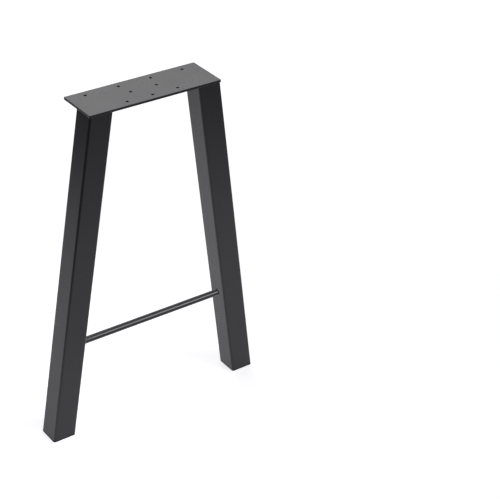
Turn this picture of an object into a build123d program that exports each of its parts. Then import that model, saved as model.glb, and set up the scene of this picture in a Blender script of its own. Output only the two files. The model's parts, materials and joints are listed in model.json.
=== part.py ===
from build123d import *
import os
from math import atan2, cos, tan

os.makedirs("parts", exist_ok=True)

# Overall size, in millimetres. X runs along the plate, +Y to the back of the leg, +Z up from the floor.
height = 720.0
base_width = 500.0

# Top plate
plate_length = 295.0
plate_depth = 95.0
plate_thickness = 5.0
plate_corner = 1.5
plate_edge_break = 0.4

# Screw holes in the plate: four at the back, two in the middle, three in front between the tubes
hole_diameter = 6.0
back_row_inset = 15.5
back_end_inset = 38.0
back_inner_spacing = 73.0
middle_spacing = 58.0
front_row_inset = 15.5
front_spacing = 56.5
front_hole_count = 3

# Square tubes, set just inside the plate's front edge and ends
tube_size = 50.0
tube_wall = 1.5
tube_corner = 4.0
tube_inner_corner = 2.5
tube_front_inset = 0.5
tube_end_inset = 1.0

# Round bar between the tubes
rod_diameter = 14.0
rod_height = 206.5

# Plastic foot caps: a flange under the tube's end and a finned plug inside it
cap_flange = 3.0
cap_foot_edge = 0.8
plug_length = 22.0
plug_wall = 2.0
plug_corner = 2.0
fin_height = 0.7
fin_width = 1.2
fin_spacing = 13.0
fin_count = 3
fin_clearance = 0.15

# Weld beads: the legs of each fillet, its thin edge, and how far a bead stops short of the tube's edges
plate_weld_leg = 4.0
plate_weld_end_gap = 6.0
rod_weld_leg = 1.5
weld_land = 0.3

# Places that follow from the sizes above
tube_top = height - plate_thickness
foot_outer_x = base_width / 2
lean = foot_outer_x - (plate_length / 2 - tube_end_inset)
splay = atan2(lean, tube_top)
tube_run = tube_top / cos(splay)
tube_level_width = tube_size / cos(splay)
tube_bore = tube_size - 2 * tube_wall
tube_front_y = tube_front_inset - plate_depth / 2
tube_y = tube_front_y + tube_size / 2
plug_size = tube_bore - 2 * (fin_clearance + fin_height)
plug_bore = plug_size - 2 * plug_wall
rod_radius = rod_diameter / 2
SIDES = {"left": -1, "right": 1}


def tube_axis_x(side, level):
    """X of a tube's axis at a height above the floor."""
    return side * (foot_outer_x - tube_level_width / 2 - level * tan(splay))


def tube_section(side):
    """Plane square to a tube's axis, with its origin on that axis at the floor and its normal up the tube."""
    return Plane(origin=(tube_axis_x(side, 0), tube_y, 0), x_dir=(0, 1, 0), z_dir=(-side * lean, 0, tube_top))


def along_tube_side(side, x, level):
    """Plane that leans as a tube's inner and outer faces do, with its normal towards the middle of the leg."""
    return Plane(origin=(x, tube_y, level), x_dir=(0, 1, 0), z_dir=(-side * tube_top, 0, -lean))


def rod_end(side, distance=0):
    """Plane of a tube's inner face at the bar, or one parallel to it, a distance along the bar from that face."""
    face_x = tube_axis_x(side, rod_height) - side * tube_level_width / 2
    return along_tube_side(side, face_x - side * distance, rod_height)


def tube_prism(side, size, corner):
    """Solid square bar along a tube's axis, reaching past the floor and the plate."""
    with BuildPart() as prism:
        with BuildSketch(tube_section(side).offset(-tube_size)):
            RectangleRounded(size, size, corner)
        extrude(amount=tube_run + 2 * tube_size)
    return prism.part


# The top plate, with a broken upper edge
with BuildPart() as top_plate:
    with BuildSketch(Plane.XY.offset(tube_top)):
        RectangleRounded(plate_length, plate_depth, plate_corner)
        with Locations((0, plate_depth / 2 - back_row_inset)):
            with GridLocations(plate_length - 2 * back_end_inset, 0, 2, 1):
                Circle(hole_diameter / 2, mode=Mode.SUBTRACT)
            with GridLocations(back_inner_spacing, 0, 2, 1):
                Circle(hole_diameter / 2, mode=Mode.SUBTRACT)
        with GridLocations(middle_spacing, 0, 2, 1):
            Circle(hole_diameter / 2, mode=Mode.SUBTRACT)
        with Locations((0, front_row_inset - plate_depth / 2)):
            with GridLocations(front_spacing, 0, front_hole_count, 1):
                Circle(hole_diameter / 2, mode=Mode.SUBTRACT)
    extrude(amount=plate_thickness)
    rim = top_plate.faces().sort_by(Axis.Z)[-1].outer_wire().edges()
    chamfer(rim, length=plate_edge_break)
top_plate.part.label = "top_plate"
export_step(top_plate.part, "parts/top_plate.step")

# The round bar, cut at each end to the lean of the tube's face
with BuildPart() as cross_rod:
    with BuildSketch(Plane.YZ):
        with Locations((tube_y, rod_height)):
            Circle(rod_radius)
    extrude(amount=foot_outer_x, both=True)
    for side in SIDES.values():
        split(bisect_by=rod_end(side), keep=Keep.TOP)
cross_rod.part.label = "cross_rod"
export_step(cross_rod.part, "parts/cross_rod.step")

for name, side in SIDES.items():
    outside = tube_prism(side, tube_size, tube_corner)

    # The square tube, hollow, cut level on top of the foot cap's flange and under the plate
    with BuildPart() as tube:
        add(outside)
        add(tube_prism(side, tube_bore, tube_inner_corner), mode=Mode.SUBTRACT)
        split(bisect_by=Plane.XY.offset(cap_flange), keep=Keep.TOP)
        split(bisect_by=Plane.XY.offset(tube_top), keep=Keep.BOTTOM)
    tube.part.label = f"{name}_tube"
    export_step(tube.part, f"parts/{name}_tube.step")

    # The foot cap's plug: a square wall inside the tube with fins on each side, open at the top
    with BuildPart() as plug:
        with BuildSketch(tube_section(side)):
            RectangleRounded(plug_size, plug_size, plug_corner)
            for turn in (0, 90):
                with Locations(Location((0, 0, 0), (0, 0, turn))):
                    with GridLocations(fin_spacing, 0, fin_count, 1):
                        Rectangle(fin_width, plug_size + 2 * fin_height)
            Rectangle(plug_bore, plug_bore, mode=Mode.SUBTRACT)
        extrude(amount=cap_flange + plug_length, both=True)
        split(bisect_by=Plane.XY.offset(cap_flange), keep=Keep.TOP)

    # The foot cap's flange carries the tube's outline down to the floor, with an eased lower edge
    with BuildPart() as foot_cap:
        add(outside)
        split(bisect_by=Plane.XY.offset(cap_flange), keep=Keep.BOTTOM)
        split(bisect_by=Plane.XY, keep=Keep.TOP)
        foot_rim = foot_cap.faces().sort_by(Axis.Z)[0].outer_wire().edges()
        chamfer(foot_rim, length=cap_foot_edge)
        add(plug.part)
    foot_cap.part.label = f"{name}_foot_cap"
    export_step(foot_cap.part, f"parts/{name}_foot_cap.step")

    # The fillet bead under the plate, along the tube's inner and back side
    with BuildPart() as plate_weld:
        for level, leg in ((tube_top, plate_weld_leg), (tube_top - plate_weld_leg, weld_land)):
            with BuildSketch(Plane.XY.offset(level)):
                with Locations((tube_axis_x(side, level), tube_y)):
                    RectangleRounded(tube_level_width + 2 * leg, tube_size + 2 * leg, tube_corner + leg)
        loft(ruled=True)
        add(outside, mode=Mode.SUBTRACT)
        front_end = Plane(origin=(0, tube_front_y + plate_weld_end_gap, 0), z_dir=(0, 1, 0))
        split(bisect_by=front_end, keep=Keep.TOP)
        outer_end_x = tube_axis_x(side, tube_top) + side * (tube_level_width / 2 - plate_weld_end_gap)
        split(bisect_by=along_tube_side(side, outer_end_x, tube_top), keep=Keep.TOP)
    plate_weld.part.label = f"{name}_plate_weld"
    export_step(plate_weld.part, f"parts/{name}_plate_weld.step")

    # The ring bead round the bar's end
    with BuildPart() as rod_weld:
        for distance, leg in ((0, rod_weld_leg), (rod_weld_leg, weld_land)):
            with BuildSketch(rod_end(side, distance)):
                Circle(rod_radius / cos(splay) + leg)
        loft(ruled=True)
        add(cross_rod.part, mode=Mode.SUBTRACT)
    rod_weld.part.label = f"{name}_rod_weld"
    export_step(rod_weld.part, f"parts/{name}_rod_weld.step")
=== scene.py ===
"""A splayed desk leg of welded steel tube in satin black powder coat, standing on black plastic foot caps."""

import json
import logging
import math
from dataclasses import dataclass
from enum import Enum
from typing import Any, ClassVar, Sequence

import bmesh
import bpy
import numpy as np
from mathutils import Matrix, Vector


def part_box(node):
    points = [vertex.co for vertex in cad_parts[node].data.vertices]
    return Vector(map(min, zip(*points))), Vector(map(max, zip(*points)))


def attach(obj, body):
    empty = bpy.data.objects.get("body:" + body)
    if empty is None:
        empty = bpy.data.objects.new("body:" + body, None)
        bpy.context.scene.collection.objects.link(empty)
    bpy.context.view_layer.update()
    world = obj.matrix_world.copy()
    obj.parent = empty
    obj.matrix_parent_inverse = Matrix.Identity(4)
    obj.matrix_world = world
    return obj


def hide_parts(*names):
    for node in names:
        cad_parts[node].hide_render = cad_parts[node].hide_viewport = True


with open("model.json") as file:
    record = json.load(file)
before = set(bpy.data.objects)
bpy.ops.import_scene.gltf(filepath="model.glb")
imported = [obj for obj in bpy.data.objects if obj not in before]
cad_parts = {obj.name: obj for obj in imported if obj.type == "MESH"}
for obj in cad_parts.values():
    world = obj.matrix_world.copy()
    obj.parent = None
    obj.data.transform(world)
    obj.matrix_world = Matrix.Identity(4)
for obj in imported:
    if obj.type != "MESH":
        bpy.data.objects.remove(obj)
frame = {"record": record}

LOG = logging.getLogger("desk_leg")
MM = 0.001
BODY = "root"
MERGE_DISTANCE = 2e-6
SHARP_ANGLE = math.radians(40)
HOLD = 0.3 * MM
FULL_TURN = 2 * math.pi
QUARTER_TURN = math.pi / 2
SRGB_KNEE = 0.04045
SRGB_SLOPE = 12.92
SRGB_OFFSET = 0.055
SRGB_POWER = 2.4

Grid = np.ndarray


class Side(Enum):
    """The two tubes of the leg, with the sign of the X side that each stands on."""

    LEFT = -1
    RIGHT = 1

    @property
    def word(self) -> str:
        """The side's name as the nodes spell it."""
        return self.name.lower()


class Slot(Enum):
    """The record's material slots."""

    FRAME_COAT = "frame_coat"
    FOOT_PLASTIC = "foot_plastic"


Finishes = dict[Slot, bpy.types.Material]


def mount(name: str) -> dict[str, Any]:
    """Finds one of the record's mounts by its name."""
    return next(row for row in frame["record"]["mounts"] if row["name"] == name)


def node_box(node: str) -> tuple[Grid, Grid]:
    """Lowest and highest corner of a CAD node, as arrays."""
    low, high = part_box(node)
    return np.array(low), np.array(high)


# Surfaces

def even_steps(knots: Grid, pitch: float) -> Grid:
    """Divides the stretches between sorted knots into even steps that keep every knot.

    Args:
        knots: Sorted places that the steps must meet.
        pitch: Longest step.

    Returns:
        The places of all steps, in order.
    """
    counts = np.ceil(np.diff(knots) / pitch).astype(int)
    ticks = np.concatenate(([0], np.cumsum(counts)))
    return np.interp(np.arange(ticks[-1] + 1), ticks, knots)


def halfway_borders(places: Grid, low: float, high: float) -> Grid:
    """Borders of the cells round sorted places: halfway between neighbours, with the two ends given."""
    return np.concatenate(([low], (places[1:] + places[:-1]) / 2, [high]))


def rectangle_walk(across: Grid, up: Grid, corner_steps: int = 1) -> tuple[Grid, Grid]:
    """Walks round a rectangle, and turns on the spot through 90 degrees at each corner.

    Args:
        across: Places along X, from the left side to the right.
        up: Places along Y, from the front side to the back.
        corner_steps: Steps of the turn at a corner.

    Returns:
        Points (n, 2) on the rectangle, and the outward angle at each (n).
    """
    sides = (np.stack((across, np.full_like(across, up[0])), axis=1),
             np.stack((np.full_like(up, across[-1]), up), axis=1),
             np.stack((across[::-1], np.full_like(across, up[-1])), axis=1),
             np.stack((np.full_like(up, across[0]), up[::-1]), axis=1))
    turn = np.linspace(0, QUARTER_TURN, corner_steps + 1)[1:-1]
    points, angles = [], []
    for quarter, side in enumerate(sides):
        facing = (quarter - 1) * QUARTER_TURN
        points += [side, np.repeat(side[-1:], len(turn), axis=0)]
        angles += [np.full(len(side), facing), facing + turn]
    return np.concatenate(points), np.concatenate(angles)


def eased_wall(top: float, bottom: float, ease_top: float, ease_bottom: float, steps: int,
               cuts: int = 0) -> Grid:
    """Section of a wall between two level faces, with both its edges eased to quarter circles.

    At the angle t an eased edge has drawn in by ease * (1 - sin t) and dropped by ease * (1 - cos t), with t
    from 0 to 90 degrees. A holding row beside each end of an edge keeps the faces next to it flat to the
    light.

    Args:
        top: Level of the upper face.
        bottom: Level of the lower face.
        ease_top: Radius of the upper edge.
        ease_bottom: Radius of the lower edge.
        steps: Steps of each edge.
        cuts: Even cuts across the wall between its edges.

    Returns:
        Rows of (inset from the wall, level), from the upper face to the lower.
    """
    angle = np.linspace(0, QUARTER_TURN, steps + 1)
    inset = 1 - np.sin(angle)
    drop = 1 - np.cos(angle)
    upper = np.stack((np.concatenate(([ease_top + HOLD], ease_top * inset, [0])),
                      top - np.concatenate(([0], ease_top * drop, [ease_top + HOLD]))), axis=1)
    lower = np.stack((np.concatenate(([0], ease_bottom * inset[::-1], [ease_bottom + HOLD])),
                      bottom + np.concatenate(([ease_bottom + HOLD], ease_bottom * drop[::-1], [0]))), axis=1)
    levels = np.linspace(upper[-1, 1], lower[0, 1], cuts + 2)[1:-1]
    return np.concatenate((upper, np.stack((np.zeros(cuts), levels), axis=1), lower))


def square_rings(halves: Grid, corners: Grid, along: Grid, bumps: Grid | float = 0.0, steps: int = 6) -> Grid:
    """Rounded squares, one a row: a corner's quarter circle and then a straight side, four times round.

    A corner's point is (c + r cos t, c + r sin t), with r the corner's radius and c the half size less r. A
    side's point is (a, half + bump), with a from the places along the side. Each next quarter is turned by 90
    degrees.

    Args:
        halves: Half the size of each square.
        corners: Corner radius of each square.
        along: Places along a side, measured from its middle, from the first corner to the next.
        bumps: How far each of those places stands out from the side.
        steps: Steps of a corner.

    Returns:
        Points (rows, columns, 2).
    """
    angle = np.linspace(0, QUARTER_TURN, steps + 1)
    centre = (halves - corners)[:, None]
    sides = np.ones((len(halves), len(along)))
    x = np.concatenate((centre + corners[:, None] * np.cos(angle), sides * along), axis=1)
    y = np.concatenate((centre + corners[:, None] * np.sin(angle), sides * (halves[:, None] + bumps)), axis=1)
    quarters = ((x, y), (-y, x), (-x, -y), (y, -x))
    return np.concatenate([np.stack(quarter, axis=-1) for quarter in quarters], axis=1)


def cell_corners(rows: int, columns: int, first: int) -> Grid:
    """Numbers the four corners of every cell of a grid of points whose last column joins its first.

    Args:
        rows: Rows of points.
        columns: Columns of points.
        first: Number of the grid's first point.

    Returns:
        Point numbers (cells, 4).
    """
    number = first + np.arange(rows * columns).reshape(rows, columns)
    following = np.roll(number, -1, axis=1)
    return np.stack((number[:-1], following[:-1], following[1:], number[1:]), axis=-1).reshape(-1, 4)


def make_piece(name: str, node: str, slot: Slot, finishes: Finishes, grids: Sequence[Grid],
               mirrored: bool = False) -> None:
    """Joins grids of points into one closed, smooth piece that stands for a CAD node.

    Points that coincide become one, which closes seams, poles and the borders between grids. The photographed
    coat shows the studio in its gloss and not the leg's own pieces, so most pieces stay out of mirror images.

    Args:
        name: The piece's name.
        node: The CAD node that it stands for.
        slot: The record's material slot.
        finishes: Material of each slot.
        grids: Points (rows, columns, 3), each grid closed round its columns.
        mirrored: Whether gloss shows the piece.
    """
    firsts = np.cumsum([0] + [grid.shape[0] * grid.shape[1] for grid in grids])
    points = np.concatenate([grid.reshape(-1, 3) for grid in grids])
    faces = np.concatenate([cell_corners(*grid.shape[:2], first) for grid, first in zip(grids, firsts)])
    mesh = bpy.data.meshes.new(name)
    mesh.from_pydata(points, [], faces)
    shell = bmesh.new()
    shell.from_mesh(mesh)
    bmesh.ops.remove_doubles(shell, verts=shell.verts, dist=MERGE_DISTANCE)
    bmesh.ops.recalc_face_normals(shell, faces=shell.faces)
    open_edges = sum(not edge.is_manifold for edge in shell.edges)
    shell.to_mesh(mesh)
    shell.free()
    mesh.shade_smooth()
    mesh.set_sharp_from_angle(angle=SHARP_ANGLE)
    mesh.materials.append(finishes[slot])
    piece = bpy.data.objects.new(name, mesh)
    piece.visible_glossy = mirrored
    bpy.context.scene.collection.objects.link(piece)
    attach(piece, BODY)
    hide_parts(node)
    LOG.info("%s: %d faces, %d open edges, stands for %s", name, len(mesh.polygons), open_edges, node)


# Finishes

def linear(hex_colour: str) -> tuple[float, float, float, float]:
    """Turns an sRGB colour into the linear colour that a shader takes.

    Args:
        hex_colour: Six hex digits after a hash mark.

    Returns:
        Linear red, green, blue and an alpha of one.
    """
    channels = np.array([int(hex_colour[i:i + 2], 16) for i in (1, 3, 5)]) / 255
    low = channels / SRGB_SLOPE
    high = ((channels + SRGB_OFFSET) / (1 + SRGB_OFFSET)) ** SRGB_POWER
    return (*np.where(channels <= SRGB_KNEE, low, high).tolist(), 1.0)


def add_node(tree: bpy.types.NodeTree, kind: str, inputs: dict[str | int, Any] | None = None,
             **settings: Any) -> bpy.types.Node:
    """Adds a node, with its settings, its input values and the links into it.

    Args:
        tree: The node tree that gets the node.
        kind: Blender's type name of the node.
        inputs: Input name or number to a value, or to the output socket that is linked there.
        **settings: Attributes of the node itself.

    Returns:
        The new node.
    """
    made = tree.nodes.new(kind)
    for name, value in settings.items():
        setattr(made, name, value)
    for name, value in (inputs or {}).items():
        if isinstance(value, bpy.types.NodeSocket):
            tree.links.new(value, made.inputs[name])
        else:
            made.inputs[name].default_value = value
    return made


def new_tree(name: str) -> tuple[bpy.types.Material, bpy.types.NodeTree]:
    """Makes an empty node material.

    Args:
        name: The material's name.

    Returns:
        The material and its emptied node tree.
    """
    material = bpy.data.materials.new(name)
    material.use_nodes = True
    material.node_tree.nodes.clear()
    return material, material.node_tree


@dataclass(frozen=True)
class PowderCoat:
    """Polyester powder coat, baked on steel: a dark satin film with the ripple that melted powder leaves.

    It gives the eye an even near-black, a broad soft gloss and a fine orange peel where light grazes it. The
    peel is drawn higher than on a real coat, so that it shows from close by.
    """

    name: str = "satin_black_powder_coat"
    colour: str = "#14141B"
    colour_thin: str = "#191921"
    roughness: float = 0.28
    roughness_spread: float = 0.04
    ior: float = 1.5
    peel_mm: float = 2.4
    peel_height_mm: float = 0.06
    peel_octaves: float = 2.0
    peel_fade: float = 0.45
    cloud_mm: float = 90.0
    cloud_octaves: float = 4.0
    cloud_fade: float = 0.6

    def material(self) -> bpy.types.Material:
        """Builds the shader: broad clouds in colour and gloss, and the peel as bump."""
        material, tree = new_tree(self.name)
        place = add_node(tree, "ShaderNodeTexCoord").outputs["Object"]
        cloud = add_node(tree, "ShaderNodeTexNoise",
                         {"Vector": place, "Scale": 1 / (self.cloud_mm * MM), "Detail": self.cloud_octaves,
                          "Roughness": self.cloud_fade})
        peel = add_node(tree, "ShaderNodeTexNoise",
                        {"Vector": place, "Scale": 1 / (self.peel_mm * MM), "Detail": self.peel_octaves,
                         "Roughness": self.peel_fade})
        tint = add_node(tree, "ShaderNodeMix",
                        {"Factor": cloud.outputs["Fac"], "A": linear(self.colour),
                         "B": linear(self.colour_thin)}, data_type="RGBA")
        gloss = add_node(tree, "ShaderNodeMapRange",
                         {"Value": cloud.outputs["Fac"],
                          "To Min": self.roughness - self.roughness_spread,
                          "To Max": self.roughness + self.roughness_spread})
        bump = add_node(tree, "ShaderNodeBump",
                        {"Height": peel.outputs["Fac"], "Distance": self.peel_height_mm * MM})
        shader = add_node(tree, "ShaderNodeBsdfPrincipled",
                          {"Base Color": tint.outputs["Result"], "Roughness": gloss.outputs["Result"],
                           "IOR": self.ior, "Normal": bump.outputs["Normal"]})
        add_node(tree, "ShaderNodeOutputMaterial", {"Surface": shader.outputs["BSDF"]})
        return material


@dataclass(frozen=True)
class MouldedPlastic:
    """Black polyethylene, injection moulded in a spark-eroded mould.

    It gives the eye a dull black with little shine: the mould's fine grain traps most of the light.
    """

    name: str = "matte_black_polyethylene"
    colour: str = "#0A0A0B"
    roughness: float = 0.6
    roughness_spread: float = 0.06
    ior: float = 1.51
    shine: float = 0.1
    grain_mm: float = 0.9
    grain_height_mm: float = 0.01
    grain_octaves: float = 3.0

    def material(self) -> bpy.types.Material:
        """Builds the shader: one dark colour with the mould's grain as bump."""
        material, tree = new_tree(self.name)
        place = add_node(tree, "ShaderNodeTexCoord").outputs["Object"]
        grain = add_node(tree, "ShaderNodeTexNoise",
                         {"Vector": place, "Scale": 1 / (self.grain_mm * MM), "Detail": self.grain_octaves})
        gloss = add_node(tree, "ShaderNodeMapRange",
                         {"Value": grain.outputs["Fac"],
                          "To Min": self.roughness - self.roughness_spread,
                          "To Max": self.roughness + self.roughness_spread})
        bump = add_node(tree, "ShaderNodeBump",
                        {"Height": grain.outputs["Fac"], "Distance": self.grain_height_mm * MM})
        shader = add_node(tree, "ShaderNodeBsdfPrincipled",
                          {"Base Color": linear(self.colour), "Roughness": gloss.outputs["Result"],
                           "IOR": self.ior, "Specular IOR Level": self.shine,
                           "Normal": bump.outputs["Normal"]})
        add_node(tree, "ShaderNodeOutputMaterial", {"Surface": shader.outputs["BSDF"]})
        return material


# The leg's pieces

@dataclass(frozen=True)
class TubeLine:
    """The line that a leaning tube follows, with the directions of its square section.

    A point of the tube is foot + up * run + deep * p + out * q, with (p, q) a point of the section and run
    the way up the axis from the floor.
    """

    side: Side
    foot: Grid
    up: Grid
    half: float
    bottom: float
    top: float
    deep: ClassVar[Grid] = np.array((0.0, 1.0, 0.0))

    @classmethod
    def from_frame(cls, side: Side) -> "TubeLine":
        """Works the line out from the tube's box and its foot's mount.

        The box's two limits along X are the outer face at the lower end and the inner face at the upper end.
        Their widths from the axis cancel in the sum, which leaves the axis's slope.

        Args:
            side: Which tube.

        Returns:
            The tube's line.
        """
        low, high = node_box(f"{side.word}_tube")
        foot = np.array(mount(f"{side.word}_foot")["pos_m"])
        slope = (low[0] + high[0] - 2 * foot[0]) / (low[2] + high[2])
        up = np.array((slope, 0.0, 1.0)) / math.hypot(slope, 1.0)
        return cls(side, foot, up, (high[1] - low[1]) / 2, low[2], high[2])

    @property
    def out(self) -> Grid:
        """Direction square to the axis, away from the middle of the leg."""
        return self.side.value * np.array((self.up[2], 0.0, -self.up[0]))

    def inner_face_x(self, level: Grid) -> Grid:
        """X of the tube's inner face at heights above the floor."""
        return self.foot[0] + (self.up[0] * level - self.side.value * self.half) / self.up[2]

    def at_run(self, rings: Grid, run: Grid | float) -> Grid:
        """Places section points a way up the axis, by the sum that the class gives."""
        run = np.broadcast_to(run, rings.shape[:-1])[..., None]
        return self.foot + run * self.up + rings[..., :1] * self.deep + rings[..., 1:] * self.out

    def at_level(self, rings: Grid, level: Grid | float) -> Grid:
        """Carries section points along the axis to a height: run * up.z + q * out.z is that height."""
        return self.at_run(rings, (level - rings[..., 1] * self.out[2]) / self.up[2])


@dataclass(frozen=True)
class WeldBead:
    """A fillet bead: a crowned face from one part to the other, with the scales that a weld pool leaves."""

    leg: float
    crown: float = 0.35 * MM
    scale_pitch: float = 2.3 * MM
    scale_height: float = 0.16 * MM
    scale_lag: float = 0.45
    face_steps: int = 10
    steps_per_scale: int = 8

    def stations(self, length: float) -> Grid:
        """Places along a bead of some length, close enough to draw its scales."""
        return np.linspace(0, length, round(length / self.scale_pitch) * self.steps_per_scale + 1)

    def section(self, place: Grid, fade: Grid | float = 1.0) -> tuple[Grid, Grid]:
        """Closed section of the bead at places along it.

        Over the face w goes from 0 to 1. The face's point is leg * (1 - w) out and leg * w down, and it
        stands out from that line by sin(pi w) * (crown + scale height * cos(phase)). The phase counts scales
        along the bead and lags by scale_lag * (2w - 1)^2, which bends each scale to a crescent. The root
        closes the loop.

        Args:
            place: Distance along the bead, one a row.
            fade: Size of the section there, from 0 to 1.

        Returns:
            Distance out along the first plate and down along the second, each (rows, columns).
        """
        w = np.linspace(0, 1, self.face_steps + 1)
        phase = FULL_TURN * (place[:, None] / self.scale_pitch - self.scale_lag * (2 * w - 1) ** 2)
        swell = np.sin(math.pi * w) * (self.crown + self.scale_height * np.cos(phase)) / math.sqrt(2)
        root = np.zeros((len(place), 1))
        size = np.broadcast_to(fade, place.shape)[:, None]
        out = np.concatenate((self.leg * (1 - w) + swell, root), axis=1) * size
        down = np.concatenate((self.leg * w + swell, root), axis=1) * size
        return out, down


@dataclass(frozen=True)
class TopPlate:
    """The flat plate that screws to the table top, with eased edges and three rows of plain screw holes."""

    corner: float = 1.5 * MM
    corner_steps: int = 6
    upper_ease: float = 0.45 * MM
    lower_ease: float = 0.3 * MM
    hole_ease: float = 0.25 * MM
    ease_steps: int = 3
    pitch: float = 2.5 * MM
    patterns: tuple[str, ...] = ("back_outer_holes", "back_inner_holes", "middle_holes", "front_outer_holes")
    single: str = "front_centre_hole"

    def hole_centres(self) -> Grid:
        """Centres (x, y) of the screw holes: the ends of each pair's spacing, and the single hole's place."""
        pairs = [mount(name) for name in self.patterns]
        reach = np.array([pair["dims"]["spacing_x_mm"] for pair in pairs]) * MM / 2
        middles = np.array([pair["pos_m"][:2] for pair in pairs])
        shift = np.stack((reach, np.zeros_like(reach)), axis=1)
        return np.concatenate((middles - shift, middles + shift, [mount(self.single)["pos_m"][:2]]))

    def build(self, finishes: Finishes) -> None:
        """Makes the plate: one cell round each hole, and the edge band round them all.

        The holes are dark because their walls mirror each other, so gloss shows this piece.
        """
        low, high = node_box("top_plate")
        radius = mount(self.single)["dims"]["r_mm"] * MM
        inner_low, inner_high = low + self.corner, high - self.corner
        centres = self.hole_centres()
        rows = np.unique(centres[:, 1])
        strips = halfway_borders(rows, inner_low[1], inner_high[1])
        row_holes = [np.sort(centres[centres[:, 1] == row, 0]) for row in rows]
        row_cells = [halfway_borders(holes, inner_low[0], inner_high[0]) for holes in row_holes]
        across = even_steps(np.unique(np.concatenate(row_cells)), self.pitch)
        up = even_steps(strips, self.pitch)
        grids = [self.edge_band(across, up, low[2], high[2])]
        for row, holes, cells, front, back in zip(rows, row_holes, row_cells, strips, strips[1:]):
            cell_up = up[(up >= front) & (up <= back)]
            for hole, left, right in zip(holes, cells, cells[1:]):
                cell_across = across[(across >= left) & (across <= right)]
                grids.append(self.hole_cell((hole, row), radius, cell_across, cell_up, low[2], high[2]))
        make_piece("drilled_plate", "top_plate", Slot.FRAME_COAT, finishes, grids, mirrored=True)

    def edge_band(self, across: Grid, up: Grid, bottom: float, top: float) -> Grid:
        """The band round the plate: the rectangle of the corners' centres, offset by the corner's radius.

        Args:
            across: Places along X between the corners' centres.
            up: Places along Y between them.
            bottom: Level of the plate's lower face.
            top: Level of its upper face.

        Returns:
            Points (rows, columns, 3), from the upper face round the edge to the lower.
        """
        anchors, angle = rectangle_walk(across, up, self.corner_steps)
        wall = eased_wall(top, bottom, self.upper_ease, self.lower_ease, self.ease_steps)
        wall = np.concatenate(([(self.corner, top)], wall, [(self.corner, bottom)]))
        reach = self.corner - wall[:, :1, None]
        flat = anchors + reach * np.stack((np.cos(angle), np.sin(angle)), axis=1)
        return np.concatenate((flat, np.broadcast_to(wall[:, 1, None, None], (*flat.shape[:2], 1))), axis=2)

    def hole_cell(self, centre: tuple[float, float], radius: float, across: Grid, up: Grid,
                  bottom: float, top: float) -> Grid:
        """One cell of the plate: rays from a hole's eased rim to the cell's border, on both faces.

        Args:
            centre: The hole's centre.
            radius: The hole's radius.
            across: Places along X on the cell's border.
            up: Places along Y on it.
            bottom: Level of the plate's lower face.
            top: Level of its upper face.

        Returns:
            Points (rows, columns, 3), from the border on the upper face through the hole to the lower one.
        """
        border, _ = rectangle_walk(across, up)
        ray = border - centre
        ray /= np.linalg.norm(ray, axis=1, keepdims=True)
        wall = eased_wall(top, bottom, self.hole_ease, self.hole_ease, self.ease_steps)
        rim = np.array(centre) + (radius + wall[:, :1, None]) * ray
        flat = np.concatenate((border[None], rim, border[None]))
        level = np.concatenate(([top], wall[:, 1], [bottom]))
        return np.concatenate((flat, np.broadcast_to(level[:, None, None], (*flat.shape[:2], 1))), axis=2)


@dataclass(frozen=True)
class SplayedTube:
    """One square tube, leaning in towards the plate, cut level at both ends and welded under the plate."""

    side: Side
    wall: float = 1.5 * MM
    corner: float = 4.0 * MM
    inner_corner: float = 2.5 * MM
    ease: float = 0.4 * MM
    ease_steps: int = 3
    length_cuts: int = 23
    side_cuts: int = 4
    weld_end_gap: float = 6.0 * MM
    weld_end_taper: float = 4.0 * MM

    def build(self, finishes: Finishes) -> None:
        """Makes the tube and its bead under the plate."""
        line = TubeLine.from_frame(self.side)
        make_piece(f"{self.side.word}_square_tube", f"{self.side.word}_tube", Slot.FRAME_COAT, finishes,
                   [self.shell(line)])
        make_piece(f"{self.side.word}_plate_bead", f"{self.side.word}_plate_weld", Slot.FRAME_COAT, finishes,
                   [self.plate_bead(line)])

    def shell(self, line: TubeLine) -> Grid:
        """The hollow tube as one loop: down the outside, across the lower end, up the inside, over the top.

        Args:
            line: The tube's line.

        Returns:
            Points (rows, columns, 3), with the first row repeated at the end.
        """
        wall = eased_wall(line.top, line.bottom, self.ease, self.ease, self.ease_steps, self.length_cuts)
        reach = line.half - self.corner - HOLD
        along = np.linspace(reach, -reach, self.side_cuts + 1)
        outside = square_rings(line.half - wall[:, 0], self.corner - wall[:, 0], along)
        inside = square_rings(line.half - self.wall + wall[::-1, 0], self.inner_corner + wall[::-1, 0], along)
        rings = np.concatenate((outside, inside, outside[:1]))
        level = np.concatenate((wall[:, 1], wall[::-1, 1], wall[:1, 1]))
        return line.at_level(rings, level[:, None])

    def plate_bead(self, line: TubeLine) -> Grid:
        """The bead under the plate, along the tube's inner side, round its corner and along its back.

        With s the way along it, p grows by the smaller of s and the first side's length, both p and q turn
        through the corner's quarter circle, and q grows by what is left of s.

        Args:
            line: The tube's line.

        Returns:
            Points (rows, columns, 3), drawn to a point at both ends.
        """
        low, high = node_box(f"{self.side.word}_plate_weld")
        bead = WeldBead(leg=high[2] - low[2])
        straight = 2 * line.half - self.corner - self.weld_end_gap
        bend = self.corner * QUARTER_TURN
        place = bead.stations(2 * straight + bend)
        turn = np.clip((place - straight) / self.corner, 0, QUARTER_TURN)
        p = self.weld_end_gap - line.half + np.minimum(place, straight) + self.corner * np.sin(turn)
        q = self.corner * (1 - np.cos(turn)) - line.half + np.maximum(place - straight - bend, 0)
        to_end = np.clip(np.minimum(place, place[-1] - place) / self.weld_end_taper, 0, 1)
        out, down = bead.section(place, np.sqrt(1 - (1 - to_end) ** 2))
        path = np.broadcast_to(np.stack((p, q), axis=1)[:, None], (*out.shape, 2))
        facing = np.stack((-self.side.value * np.cos(turn), np.sin(turn), np.zeros_like(turn)), axis=1)
        return line.at_level(path, line.top - down) + out[..., None] * facing[:, None]


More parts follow.
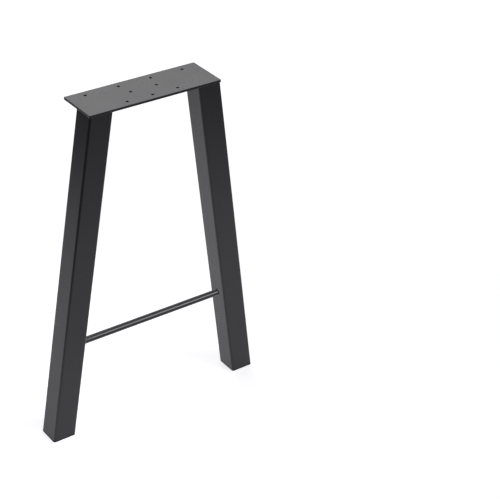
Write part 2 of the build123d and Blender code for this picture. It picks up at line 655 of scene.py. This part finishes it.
@dataclass(frozen=True)
class FootCap:
    """One foot cap: a flange that carries the tube's outline to the floor, and a finned plug in the tube."""

    side: Side
    corner: float = 4.0 * MM
    upper_ease: float = 0.35 * MM
    lower_ease: float = 0.8 * MM
    ease_steps: int = 4
    plug_half: float = 22.65 * MM
    plug_corner: float = 2.0 * MM
    plug_wall: float = 2.0 * MM
    plug_run: float = 25.0 * MM
    bore_corner: float = 0.3 * MM
    fin_count: int = 3
    fin_spacing: float = 13.0 * MM
    fin_width: float = 1.2 * MM
    fin_draft: float = 0.2 * MM
    fin_height: float = 0.7 * MM

    def fin_steps(self) -> tuple[Grid, Grid]:
        """Places along a side where a fin's foot and crest begin and end, and how far each stands out."""
        middles = (np.arange(self.fin_count)[::-1] - (self.fin_count - 1) / 2) * self.fin_spacing
        half = self.fin_width / 2
        steps = np.array((half, half - self.fin_draft, self.fin_draft - half, -half))
        bumps = np.array((0.0, self.fin_height, self.fin_height, 0.0))
        end = self.plug_half - self.plug_corner - HOLD
        along = np.concatenate(([end], (middles[:, None] + steps).ravel(), [-end]))
        return along, np.concatenate(([0], np.tile(bumps, self.fin_count), [0]))

    def build(self, finishes: Finishes) -> None:
        """Makes the cap: from its hollow's middle over the plug, down the flange and to the middle below."""
        line = TubeLine.from_frame(self.side)
        along, bumps = self.fin_steps()
        one = np.ones(1)
        bore = square_rings((self.plug_half - self.plug_wall) * one, self.bore_corner * one, along)
        plug = square_rings(self.plug_half * one, self.plug_corner * one, along, bumps)
        wall = eased_wall(line.bottom, line.foot[2], self.upper_ease, self.lower_ease, self.ease_steps)
        flange = square_rings(line.half - wall[:, 0], self.corner - wall[:, 0], along)
        middle = np.zeros_like(bore)
        grid = np.concatenate((line.at_level(np.concatenate((middle, bore)), line.bottom),
                               line.at_run(np.concatenate((bore, plug)), self.plug_run),
                               line.at_level(plug, line.bottom),
                               line.at_level(flange, wall[:, 1:]),
                               line.at_level(middle, line.foot[2])))
        make_piece(f"{self.side.word}_finned_cap", f"{self.side.word}_foot_cap", Slot.FOOT_PLASTIC, finishes,
                   [grid])


@dataclass(frozen=True)
class CrossRod:
    """The round bar between the tubes, cut to the lean of their faces, with a ring bead round each end."""

    steps_round: int = 64
    steps_along: int = 24
    bead_crown: float = 0.12 * MM
    bead_scale_height: float = 0.07 * MM

    def build(self, finishes: Finishes) -> None:
        """Makes the bar and its two beads."""
        low, high = node_box("cross_rod")
        radius = (high[2] - low[2]) / 2
        axis = (low + high)[1:] / 2
        lines = {side: TubeLine.from_frame(side) for side in Side}
        make_piece("round_bar", "cross_rod", Slot.FRAME_COAT, finishes, [self.bar(lines, axis, radius)])
        for side, line in lines.items():
            make_piece(f"{side.word}_bar_bead", f"{side.word}_rod_weld", Slot.FRAME_COAT, finishes,
                       [self.ring_bead(line, axis, radius)])

    def bar(self, lines: dict[Side, TubeLine], axis: Grid, radius: float) -> Grid:
        """The bar: a circle carried from one tube's inner face to the other's, closed at both ends.

        Args:
            lines: The two tubes' lines.
            axis: Y and Z of the bar's axis.
            radius: The bar's radius.

        Returns:
            Points (rows, columns, 3).
        """
        angle = np.linspace(0, FULL_TURN, self.steps_round, endpoint=False)
        share = np.linspace(0, 1, self.steps_along + 1)
        share = np.concatenate(([0], share, [1]))[:, None]
        reach = np.full_like(share, radius)
        reach[[0, -1]] = 0
        y = axis[0] + reach * np.cos(angle)
        z = axis[1] + reach * np.sin(angle)
        x = lines[Side.LEFT].inner_face_x(z) * (1 - share) + lines[Side.RIGHT].inner_face_x(z) * share
        return np.stack((x, y, z), axis=-1)

    def ring_bead(self, line: TubeLine, axis: Grid, radius: float) -> Grid:
        """The bead round one end: out along the tube's face and along the bar, carried round the bar.

        Args:
            line: The line of the tube that the bar meets.
            axis: Y and Z of the bar's axis.
            radius: The bar's radius.

        Returns:
            Points (rows, columns, 3).
        """
        low, high = node_box(f"{line.side.word}_rod_weld")
        leg = (high[1] - low[1]) / 2 - radius / line.up[2]
        bead = WeldBead(leg=leg, crown=self.bead_crown, scale_height=self.bead_scale_height)
        scales = round(FULL_TURN * radius / bead.scale_pitch)
        place = bead.stations(scales * bead.scale_pitch)
        angle = (place / place[-1] * FULL_TURN)[:, None]
        out, along = bead.section(place)
        y = axis[0] + (radius + out) * np.cos(angle)
        z = axis[1] + (radius + out) * np.sin(angle)
        return np.stack((line.inner_face_x(z) - line.side.value * along, y, z), axis=-1)


# The studio

@dataclass(frozen=True)
class PhotoCamera:
    """The camera at the photograph's place, a little rolled, with the leg left of the middle."""

    azimuth: float = -37.14
    elevation: float = 31.69
    roll: float = 2.25
    distance: float = 3.2413
    lens_mm: float = 108.25
    sensor_mm: float = 36.0
    aim: tuple[float, float, float] = (0.2694, 0.0, 0.2668)

    def build(self) -> None:
        """Makes the camera on a sphere round the aim and sets it as the scene's own."""
        turn, rise, roll = (math.radians(x) for x in (self.azimuth, self.elevation, self.roll))
        back = Vector((math.sin(turn) * math.cos(rise), -math.cos(turn) * math.cos(rise), math.sin(rise)))
        level_right = (-back).cross(Vector((0, 0, 1))).normalized()
        level_up = level_right.cross(-back)
        right = level_right * math.cos(roll) + level_up * math.sin(roll)
        up = level_up * math.cos(roll) - level_right * math.sin(roll)
        data = bpy.data.cameras.new("photo_camera")
        data.lens = self.lens_mm
        data.sensor_width = self.sensor_mm
        camera = bpy.data.objects.new("photo_camera", data)
        bpy.context.scene.collection.objects.link(camera)
        place = Vector(self.aim) + back * self.distance
        camera.matrix_world = Matrix.Translation(place) @ Matrix((right, up, back)).transposed().to_4x4()
        bpy.context.scene.camera = camera


@dataclass(frozen=True)
class Softbox:
    """A studio light that faces a point, with a grid that keeps its light within an angle."""

    name: str
    place: tuple[float, float, float]
    aim: tuple[float, float, float]
    width: float
    height: float
    power: float
    grid_angle: float = 180.0

    def build(self) -> None:
        """Makes the area light and turns it to its aim."""
        data = bpy.data.lights.new(self.name, "AREA")
        data.shape = "RECTANGLE"
        data.size = self.width
        data.size_y = self.height
        data.energy = self.power
        data.spread = math.radians(self.grid_angle)
        light = bpy.data.objects.new(self.name, data)
        bpy.context.scene.collection.objects.link(light)
        light.location = self.place
        light.rotation_mode = "QUATERNION"
        light.rotation_quaternion = (Vector(self.aim) - Vector(self.place)).to_track_quat("-Z", "Y")


@dataclass(frozen=True)
class LightPool:
    """A soft-edged patch on the studio's paper: one level inside its near edge and one past its far edge.

    Distances are taken from the centre, after a turn and a stretch by the shape, so both edges are ellipses.
    """

    centre: tuple[float, float]
    near: float
    far: float
    inside: float
    outside: float = 0.0
    turn: float = 0.0
    shape: tuple[float, float] = (1.0, 1.0)

    def level(self, tree: bpy.types.NodeTree, place: bpy.types.NodeSocket) -> bpy.types.NodeSocket:
        """Adds the nodes that give the level at a place: a smooth step over its distance from the centre.

        Args:
            tree: The paper's node tree.
            place: The place on the paper.

        Returns:
            The socket that holds the level.
        """
        spot = add_node(tree, "ShaderNodeMapping",
                        {"Vector": place, "Location": (*self.centre, 0.0), "Scale": (*self.shape, 1.0),
                         "Rotation": (0.0, 0.0, math.radians(self.turn))}, vector_type="TEXTURE")
        distance = add_node(tree, "ShaderNodeVectorMath", {0: spot.outputs["Vector"]}, operation="LENGTH")
        step = add_node(tree, "ShaderNodeMapRange",
                        {"Value": distance.outputs["Value"], "From Min": self.near, "From Max": self.far,
                         "To Min": self.inside, "To Max": self.outside}, interpolation_type="SMOOTHSTEP")
        return step.outputs["Result"]


def mirror_rays(tree: bpy.types.NodeTree, path: bpy.types.Node) -> bpy.types.NodeSocket:
    """Adds a node that gives one on rays off gloss or through glass, and zero on others.

    Args:
        tree: The node tree.
        path: Its Light Path node.

    Returns:
        The socket that holds the one or zero.
    """
    rays = {0: path.outputs["Is Glossy Ray"], 1: path.outputs["Is Transmission Ray"]}
    return add_node(tree, "ShaderNodeMath", rays, operation="MAXIMUM").outputs["Value"]


@dataclass(frozen=True)
class Studio:
    """A sheet of white paper under soft light, on a white background.

    The paper is brightened, so its white is a little cool. Where it is seen, its glow makes up for what the
    lamps leave out. Gloss shows it dimmer, as one painted pool of light round the leg that fades out: a
    painted reflection, glow from no lamp, that darkens the coat towards the plate.
    """

    floor_colour: str = "#DFDFE8"
    floor_half: float = 9.0
    seen: LightPool = LightPool((0.0, 0.2), near=0.3, far=2.8, inside=0.68, outside=1.0)
    # Painted reflection: a pool of glow, seen only in gloss, round the leg and fading out, which paints the
    # coat lighter low down and darker towards the plate.
    mirrored: LightPool = LightPool((-0.08, 0.0), near=0.72, far=2.4, inside=0.5, turn=-41.0,
                                    shape=(1.0, 0.5))
    world_colour: str = "#FFFFFF"
    world_light: float = 0.03
    world_mirrored: float = 0.5
    world_seen: float = 1.0
    lights: tuple[Softbox, ...] = (
        Softbox("top_softbox", place=(0.0, 0.08, 2.1), aim=(0.0, 0.08, 0.0),
                width=1.2, height=3.2, power=26.0),
        Softbox("low_strip", place=(0.306, -0.426, 0.519), aim=(0.0, -0.022, 0.2065),
                width=0.8, height=0.41, power=0.55, grid_angle=40.0),
        Softbox("back_softbox", place=(1.08, 1.7, 2.03), aim=(0.0, 0.0, 0.72),
                width=1.0, height=1.0, power=5.2),
    )

    def build(self) -> None:
        """Makes the floor, the lights and the world, and sets the plain view transform."""
        for light in self.lights:
            light.build()
        self.lay_floor()
        self.light_world()
        bpy.context.scene.view_settings.view_transform = "Standard"

    def lay_floor(self) -> None:
        """Lays the paper, which glows where it is seen, so it reads white and keeps the shadow, and glows as
        a painted pool of light where gloss mirrors it.
        """
        half = self.floor_half
        corners = [(-half, -half, 0), (half, -half, 0), (half, half, 0), (-half, half, 0)]
        mesh = bpy.data.meshes.new("floor")
        mesh.from_pydata(corners, [], [(0, 1, 2, 3)])
        floor = bpy.data.objects.new("floor", mesh)
        bpy.context.scene.collection.objects.link(floor)
        material, tree = new_tree("white_studio_paper")
        paper = add_node(tree, "ShaderNodeBsdfDiffuse", {"Color": linear(self.floor_colour)})
        path = add_node(tree, "ShaderNodeLightPath")
        place = add_node(tree, "ShaderNodeTexCoord").outputs["Object"]
        # Painted reflection: the pool's glow, shown only to gloss and glass rays.
        painted_reflection_lift = add_node(tree, "ShaderNodeMath",
                               {0: mirror_rays(tree, path), 1: self.mirrored.level(tree, place)},
                               operation="MULTIPLY")
        lift = add_node(tree, "ShaderNodeMath",
                        {0: path.outputs["Is Camera Ray"], 1: self.seen.level(tree, place),
                         2: painted_reflection_lift.outputs["Value"]}, operation="MULTIPLY_ADD")
        glow = add_node(tree, "ShaderNodeEmission", {"Strength": lift.outputs["Value"]})
        both = add_node(tree, "ShaderNodeAddShader", {0: paper.outputs["BSDF"], 1: glow.outputs["Emission"]})
        add_node(tree, "ShaderNodeOutputMaterial", {"Surface": both.outputs["Shader"]})
        mesh.materials.append(material)

    def light_world(self) -> None:
        """Makes the world white where it is seen, pale in gloss and glass, and a dim even light elsewhere."""
        world = bpy.data.worlds.new("studio_world")
        world.use_nodes = True
        tree = world.node_tree
        tree.nodes.clear()
        path = add_node(tree, "ShaderNodeLightPath")
        unseen = add_node(tree, "ShaderNodeMapRange",
                          {"Value": mirror_rays(tree, path), "To Min": self.world_light,
                           "To Max": self.world_mirrored})
        strength = add_node(tree, "ShaderNodeMapRange",
                            {"Value": path.outputs["Is Camera Ray"], "To Min": unseen.outputs["Result"],
                             "To Max": self.world_seen})
        glow = add_node(tree, "ShaderNodeBackground",
                        {"Color": linear(self.world_colour), "Strength": strength.outputs["Result"]})
        add_node(tree, "ShaderNodeOutputWorld", {"Surface": glow.outputs["Background"]})
        bpy.context.scene.world = world


def main() -> None:
    """Builds the leg, the studio and the camera, and reports each piece."""
    logging.basicConfig(level=logging.INFO, format="%(name)s: %(message)s")
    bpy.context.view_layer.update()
    finishes = {Slot.FRAME_COAT: PowderCoat().material(), Slot.FOOT_PLASTIC: MouldedPlastic().material()}
    TopPlate().build(finishes)
    for side in Side:
        SplayedTube(side).build(finishes)
        FootCap(side).build(finishes)
    CrossRod().build(finishes)
    Studio().build()
    PhotoCamera().build()


if __name__ == "__main__":
    main()
